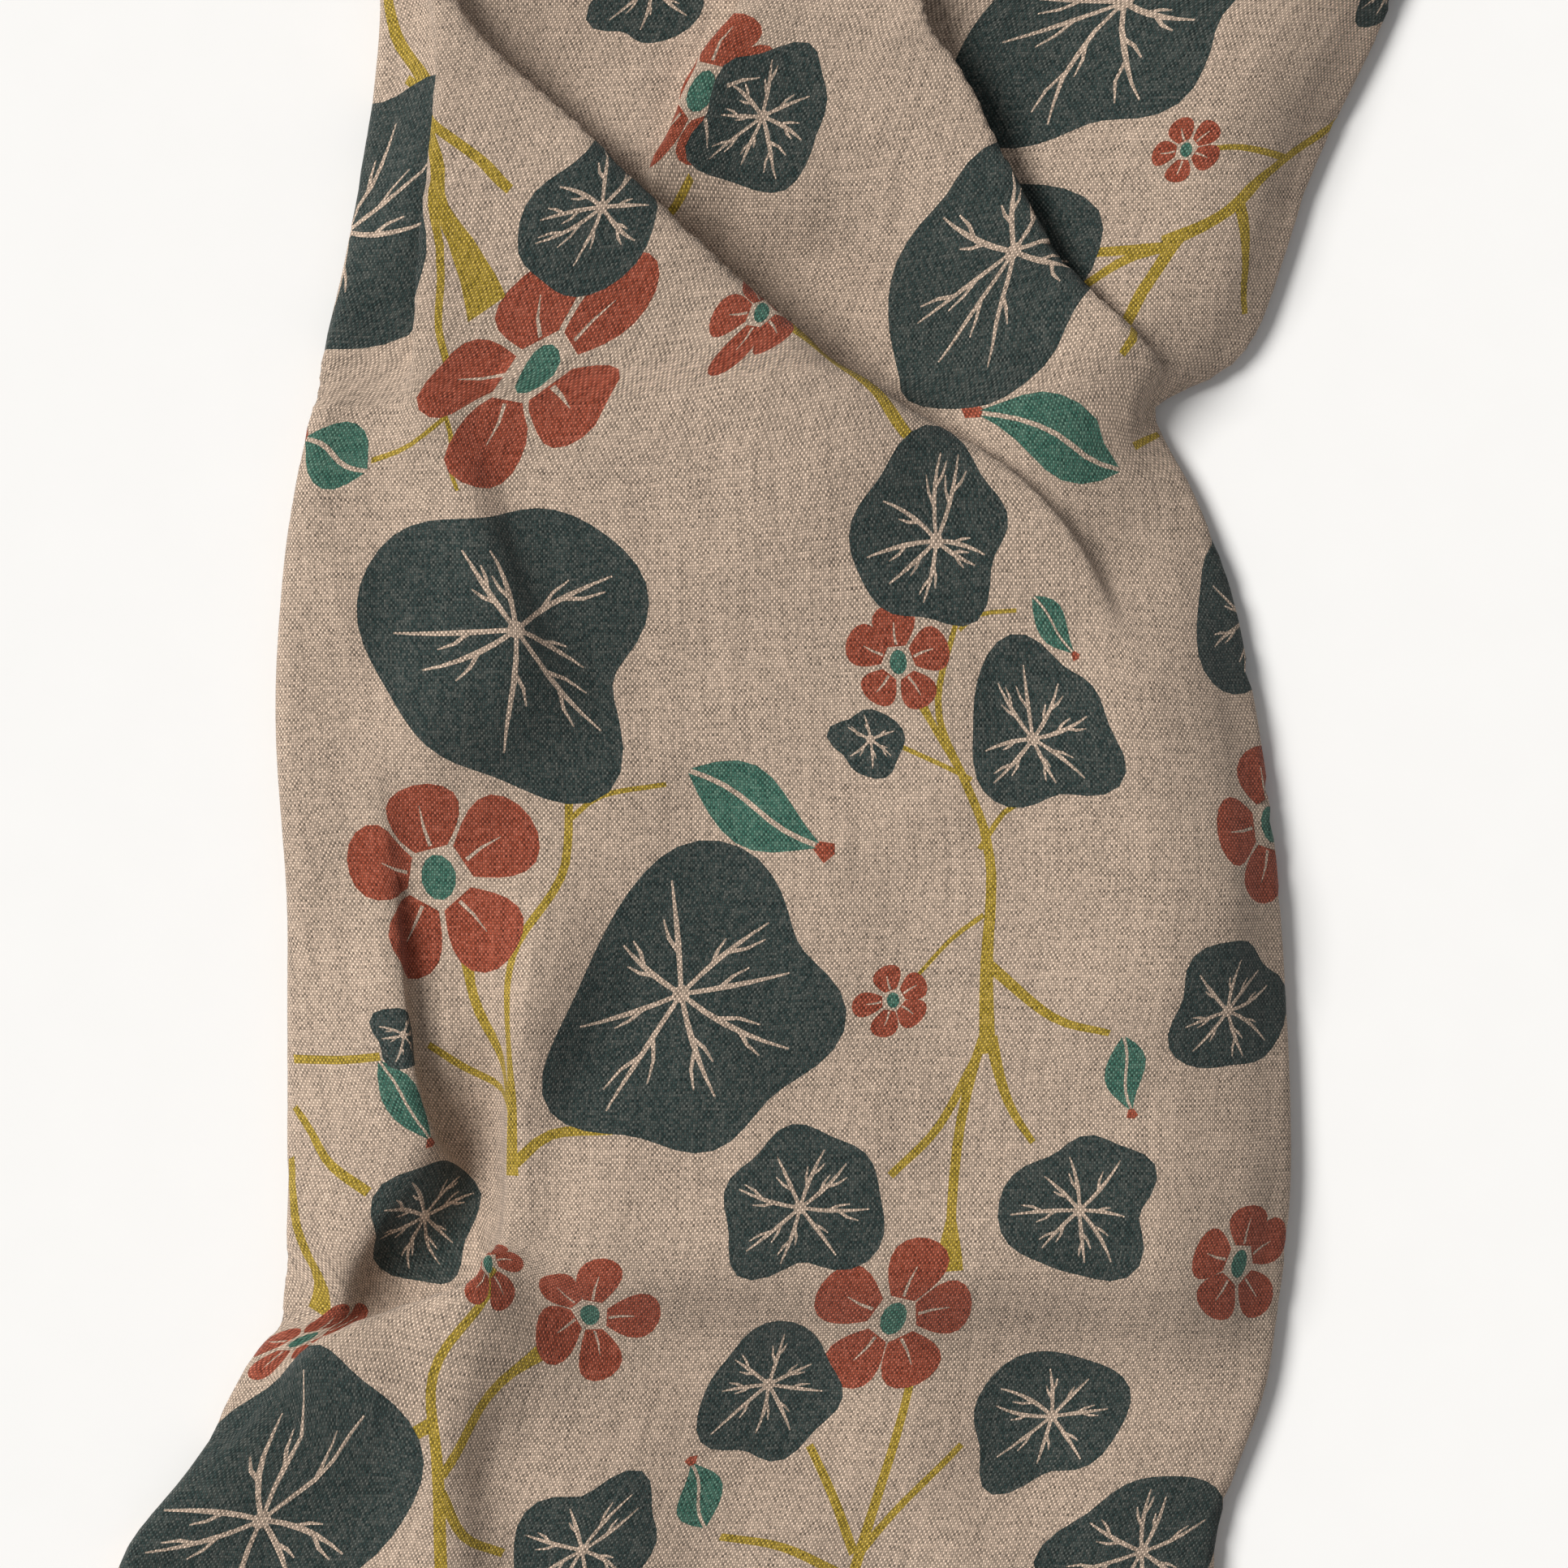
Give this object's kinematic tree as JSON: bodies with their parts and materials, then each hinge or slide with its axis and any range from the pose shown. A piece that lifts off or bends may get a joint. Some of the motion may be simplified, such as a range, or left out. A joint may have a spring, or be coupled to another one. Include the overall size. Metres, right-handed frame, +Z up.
{
  "type": "table runner",
  "caption": "Long linen table runner with a botanical print, flat and full width at both ends, gathered into soft pleats in the middle.",
  "frame": {"origin": "on the surface that the runner lies on, under the middle of its length and width", "axes": "+Y along the runner's length towards its far end, +X across it to the right, +Z up from the surface"},
  "size_m": [0.406, 1.81, 0.0259],
  "materials": {
    "printed_linen": "matt plain-weave linen with a four-colour block print",
    "hem_linen": "matt plain-weave linen, folded and pressed",
    "sewing_thread": "spun cotton thread"
  },
  "bodies": {
    "root": {"linen_panel": "printed_linen", "hem_left": "hem_linen", "hem_right": "hem_linen", "hem_near_end": "hem_linen", "hem_far_end": "hem_linen", "stitches_left": "sewing_thread", "stitches_right": "sewing_thread", "stitches_near_end": "sewing_thread", "stitches_far_end": "sewing_thread"}
  },
  "joints": []
}
